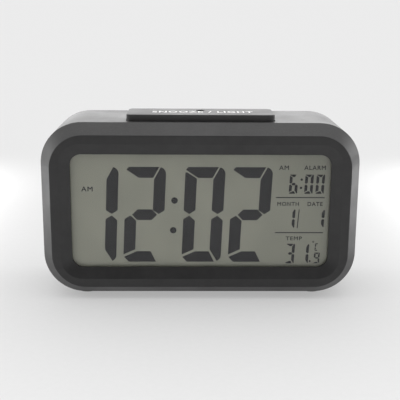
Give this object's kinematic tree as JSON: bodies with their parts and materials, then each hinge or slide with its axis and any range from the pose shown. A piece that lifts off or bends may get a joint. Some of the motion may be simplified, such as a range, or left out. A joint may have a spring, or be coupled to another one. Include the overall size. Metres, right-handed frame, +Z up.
{
  "type": "digital alarm clock",
  "caption": "Battery-powered desk alarm clock with a wide liquid-crystal display in a chamfered black casing, a snooze bar on top, and keys and a battery door at the rear.",
  "frame": {"origin": "middle of the footprint, on the plane that the rubber feet stand on", "axes": "+Z up, +X to the right as seen from the display, which faces -Y"},
  "size_m": [0.136, 0.046, 0.0792],
  "materials": {
    "casing_black": "moulded black ABS, fine satin grain",
    "bar_black": "moulded black ABS, satin, with a white printed legend",
    "key_black": "moulded black ABS, matt",
    "lens_clear": "clear polished acrylic",
    "smoked_window": "dark smoked acrylic",
    "lcd_glass": "thin clear glass",
    "polarizer_film": "grey-green film",
    "reflector_film": "grey-green reflecting film",
    "clear_acrylic": "clear polished acrylic with white dots",
    "white_plastic": "moulded white plastic",
    "led_resin": "cast resin",
    "zebra_rubber": "layered silicone",
    "foot_rubber": "moulded soft rubber",
    "board_green": "glass-epoxy board with solder resist",
    "black_resin": "cast epoxy",
    "capacitor_sleeve": "shrunk sleeve over an aluminium can",
    "plated_steel": "zinc-plated",
    "spring_steel": "drawn wire, nickel-plated",
    "nickel_plate": "nickel-plated strip",
    "switch_case": "moulded black nylon",
    "switch_plunger": "moulded pale nylon",
    "photocell": "ceramic disc with a clear coat",
    "cell_sleeve": "printed sleeve over a steel can",
    "sounder_brass": "rolled brass",
    "sounder_ceramic": "silvered ceramic",
    "wire_red": "PVC-covered stranded wire",
    "wire_black": "PVC-covered stranded wire",
    "wire_grey": "PVC-covered stranded wire"
  },
  "bodies": {
    "clock": {"backlight_leds": "led_resin", "battery_cell_lower": "cell_sleeve", "battery_cell_middle": "cell_sleeve", "battery_cell_upper": "cell_sleeve", "battery_lead_black": "wire_black", "battery_lead_red": "wire_red", "board_capacitors": "capacitor_sleeve", "board_chips": "black_resin", "board_screws": "plated_steel", "buzzer_ceramic": "sounder_ceramic", "buzzer_disc": "sounder_brass", "buzzer_leads": "wire_grey", "clock_crystal": "plated_steel", "contact_springs": "spring_steel", "controller_cap": "black_resin", "display_lens": "lens_clear", "front_bezel": "casing_black", "housing_screws": "plated_steel", "key_board": "board_green", "key_board_screws": "plated_steel", "key_ribbon": "wire_grey", "key_switch_cases": "switch_case", "lcd_frame": "white_plastic", "lcd_front_glass": "lcd_glass", "lcd_front_polarizer": "polarizer_film", "lcd_rear_glass": "lcd_glass", "lcd_reflector": "reflector_film", "left_link_contact": "nickel_plate", "light_guide": "clear_acrylic", "light_sensor": "photocell", "main_board": "board_green", "negative_terminal": "nickel_plate", "positive_terminal": "nickel_plate", "rear_housing": "casing_black", "right_link_contact": "nickel_plate", "rubber_feet": "foot_rubber", "slide_switch_cases": "switch_case", "snooze_springs": "spring_steel", "snooze_switch_case": "switch_case", "temperature_sensor": "wire_black", "top_board": "board_green", "top_board_screws": "plated_steel", "top_header": "nickel_plate", "zebra_strip": "zebra_rubber"},
    "snooze_bar_body": {"snooze_bar": "bar_black", "snooze_switch_plunger": "switch_plunger", "sensor_window": "smoked_window"},
    "mode_key_body": {"mode_key": "key_black", "mode_switch_plunger": "switch_plunger"},
    "set_key_body": {"set_key": "key_black", "set_switch_plunger": "switch_plunger"},
    "up_key_body": {"up_key": "key_black", "up_switch_plunger": "switch_plunger"},
    "down_key_body": {"down_key": "key_black", "down_switch_plunger": "switch_plunger"},
    "alarm_key_body": {"alarm_key": "key_black", "alarm_switch_plunger": "switch_plunger"},
    "alarm_slider_body": {"alarm_switch_slider": "key_black"},
    "sensor_slider_body": {"sensor_switch_slider": "key_black"},
    "battery_door_body": {"battery_door": "casing_black"}
  },
  "joints": [
    {"name": "snooze_press", "type": "slide", "parent": "clock", "child": "snooze_bar_body", "axis": [0, 0, -1], "range_m": [0, 0.0008], "stiffness_N_per_m": 600, "springref_m": -0.003, "deforming": ["snooze_springs"]},
    {"name": "mode_press", "type": "slide", "parent": "clock", "child": "mode_key_body", "axis": [0, -1, 0], "range_m": [0, 0.0006], "stiffness_N_per_m": 500, "springref_m": -0.002},
    {"name": "set_press", "type": "slide", "parent": "clock", "child": "set_key_body", "axis": [0, -1, 0], "range_m": [0, 0.0006], "stiffness_N_per_m": 500, "springref_m": -0.002},
    {"name": "up_press", "type": "slide", "parent": "clock", "child": "up_key_body", "axis": [0, -1, 0], "range_m": [0, 0.0006], "stiffness_N_per_m": 500, "springref_m": -0.002},
    {"name": "down_press", "type": "slide", "parent": "clock", "child": "down_key_body", "axis": [0, -1, 0], "range_m": [0, 0.0006], "stiffness_N_per_m": 500, "springref_m": -0.002},
    {"name": "alarm_press", "type": "slide", "parent": "clock", "child": "alarm_key_body", "axis": [0, -1, 0], "range_m": [0, 0.0006], "stiffness_N_per_m": 500, "springref_m": -0.002},
    {"name": "alarm_switch_slide", "type": "slide", "parent": "clock", "child": "alarm_slider_body", "axis": [1, 0, 0], "range_m": [0, 0.0025]},
    {"name": "sensor_switch_slide", "type": "slide", "parent": "clock", "child": "sensor_slider_body", "axis": [1, 0, 0], "range_m": [0, 0.0025]},
    {"name": "battery_door_hinge", "type": "hinge", "parent": "clock", "child": "battery_door_body", "pos_m": [0, 0.023, 0.0098], "axis": [-1, 0, 0], "range_deg": [0, 75]}
  ]
}
